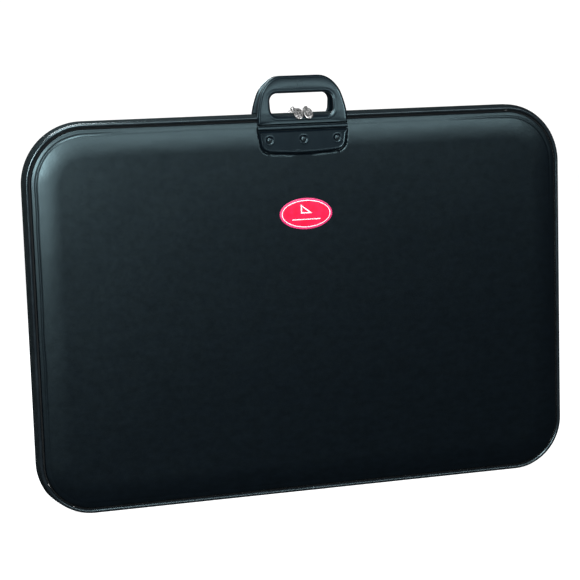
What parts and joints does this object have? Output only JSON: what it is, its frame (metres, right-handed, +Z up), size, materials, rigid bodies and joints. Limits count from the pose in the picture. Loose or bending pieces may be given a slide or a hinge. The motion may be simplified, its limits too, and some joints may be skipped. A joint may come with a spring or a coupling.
{
  "type": "portfolio case",
  "caption": "Zipped carrying case for large sheets: padded leatherette halves hinged at the bottom, moulded handles on top, a zip round the other edges.",
  "frame": {"origin": "Centre of the underside, on the surface that the case stands on.", "axes": "+X across the case, to the right seen from the front; +Y from the front half to the back half; +Z up, towards the handles"},
  "size_m": [0.766, 0.0402, 0.5775],
  "materials": {
    "leatherette": "fine grained black leatherette with a soft satin sheen",
    "gloss_piping": "glossy black extruded piping",
    "moulded_plastic": "satin black moulded polypropylene",
    "rivet_plastic": "smooth black rivet heads",
    "foam": "grey polyurethane foam with fine open cells",
    "hardboard": "brown pressed fibre board",
    "lining_fabric": "dark grey woven polyester lining",
    "zip_tape": "black ribbed zip tape",
    "zip_metal": "nickel plated zinc, slightly worn",
    "steel": "plain steel strip",
    "badge_red": "glossy red enamelled oval",
    "elastic": "black woven elastic"
  },
  "bodies": {
    "spine": {"spine_cover": "leatherette", "spine_board": "hardboard", "spine_lining": "lining_fabric"},
    "front_half": {"front_cover": "leatherette", "front_foam_pad": "foam", "front_stiffener_board": "hardboard", "front_lining": "lining_fabric", "front_piping": "gloss_piping", "front_gusset": "leatherette", "front_zip_tape": "zip_tape", "front_zip_teeth": "zip_metal", "front_zip_stop_left": "zip_metal", "front_zip_stop_right": "zip_metal", "front_handle_backing_plate": "steel", "front_handle_base": "moulded_plastic", "front_handle_rivet_1": "rivet_plastic", "front_handle_rivet_2": "rivet_plastic", "front_handle_rivet_3": "rivet_plastic", "badge": "badge_red", "document_pocket": "lining_fabric"},
    "front_fold_strip": {"front_handle_fold_strip": "moulded_plastic"},
    "front_grip": {"front_handle_grip": "moulded_plastic"},
    "rear_half": {"rear_cover": "leatherette", "rear_foam_pad": "foam", "rear_stiffener_board": "hardboard", "rear_lining": "lining_fabric", "rear_piping": "gloss_piping", "rear_gusset": "leatherette", "rear_zip_tape": "zip_tape", "rear_zip_teeth": "zip_metal", "rear_zip_stop_left": "zip_metal", "rear_zip_stop_right": "zip_metal", "rear_handle_backing_plate": "steel", "rear_handle_base": "moulded_plastic", "rear_handle_rivet_1": "rivet_plastic", "rear_handle_rivet_2": "rivet_plastic", "rear_handle_rivet_3": "rivet_plastic", "corner_strap_upper_left": "elastic", "corner_strap_upper_right": "elastic", "corner_strap_lower_left": "elastic", "corner_strap_lower_right": "elastic"},
    "rear_fold_strip": {"rear_handle_fold_strip": "moulded_plastic"},
    "rear_grip": {"rear_handle_grip": "moulded_plastic"},
    "slider_left": {"zip_slider_left": "zip_metal"},
    "pull_left": {"zip_pull_left": "zip_metal"},
    "slider_right": {"zip_slider_right": "zip_metal"},
    "pull_right": {"zip_pull_right": "zip_metal"}
  },
  "joints": [
    {"name": "front_half_fold", "type": "hinge", "parent": "spine", "child": "front_half", "pos_m": [0, -0.0092, 0], "axis": [1, 0, 0], "range_deg": [0, 90]},
    {"name": "front_strip_fold", "type": "hinge", "parent": "front_half", "child": "front_fold_strip", "pos_m": [0, -0.0155, 0.504], "axis": [-1, 0, 0], "range_deg": [-45, 0], "stiffness_Nm_per_rad": 0.1},
    {"name": "front_grip_fold", "type": "hinge", "parent": "front_fold_strip", "child": "front_grip", "pos_m": [0, -0.0155, 0.511], "axis": [-1, 0, 0], "range_deg": [-45, 0], "stiffness_Nm_per_rad": 0.1},
    {"name": "rear_half_fold", "type": "hinge", "parent": "spine", "child": "rear_half", "pos_m": [0, 0.0092, 0], "axis": [-1, 0, 0], "range_deg": [0, 90]},
    {"name": "rear_strip_fold", "type": "hinge", "parent": "rear_half", "child": "rear_fold_strip", "pos_m": [0, 0.0155, 0.504], "axis": [1, 0, 0], "range_deg": [-45, 0], "stiffness_Nm_per_rad": 0.1},
    {"name": "rear_grip_fold", "type": "hinge", "parent": "rear_fold_strip", "child": "rear_grip", "pos_m": [0, 0.0155, 0.511], "axis": [1, 0, 0], "range_deg": [-45, 0], "stiffness_Nm_per_rad": 0.1},
    {"name": "slider_left_slide", "type": "slide", "parent": "rear_half", "child": "slider_left", "axis": [-1, 0, 0], "range_m": [0, 0.28]},
    {"name": "pull_left_swing", "type": "hinge", "parent": "slider_left", "child": "pull_left", "pos_m": [-0.0095, 0, 0.5318], "axis": [-1, 0, 0], "range_deg": [0, 205]},
    {"name": "slider_right_slide", "type": "slide", "parent": "rear_half", "child": "slider_right", "axis": [1, 0, 0], "range_m": [0, 0.28]},
    {"name": "pull_right_swing", "type": "hinge", "parent": "slider_right", "child": "pull_right", "pos_m": [0.0095, 0, 0.5318], "axis": [-1, 0, 0], "range_deg": [0, 205]}
  ],
  "couplings": [
    {"joint": "front_grip_fold", "follows": "front_strip_fold", "ratio": 1},
    {"joint": "rear_grip_fold", "follows": "rear_strip_fold", "ratio": 1}
  ]
}
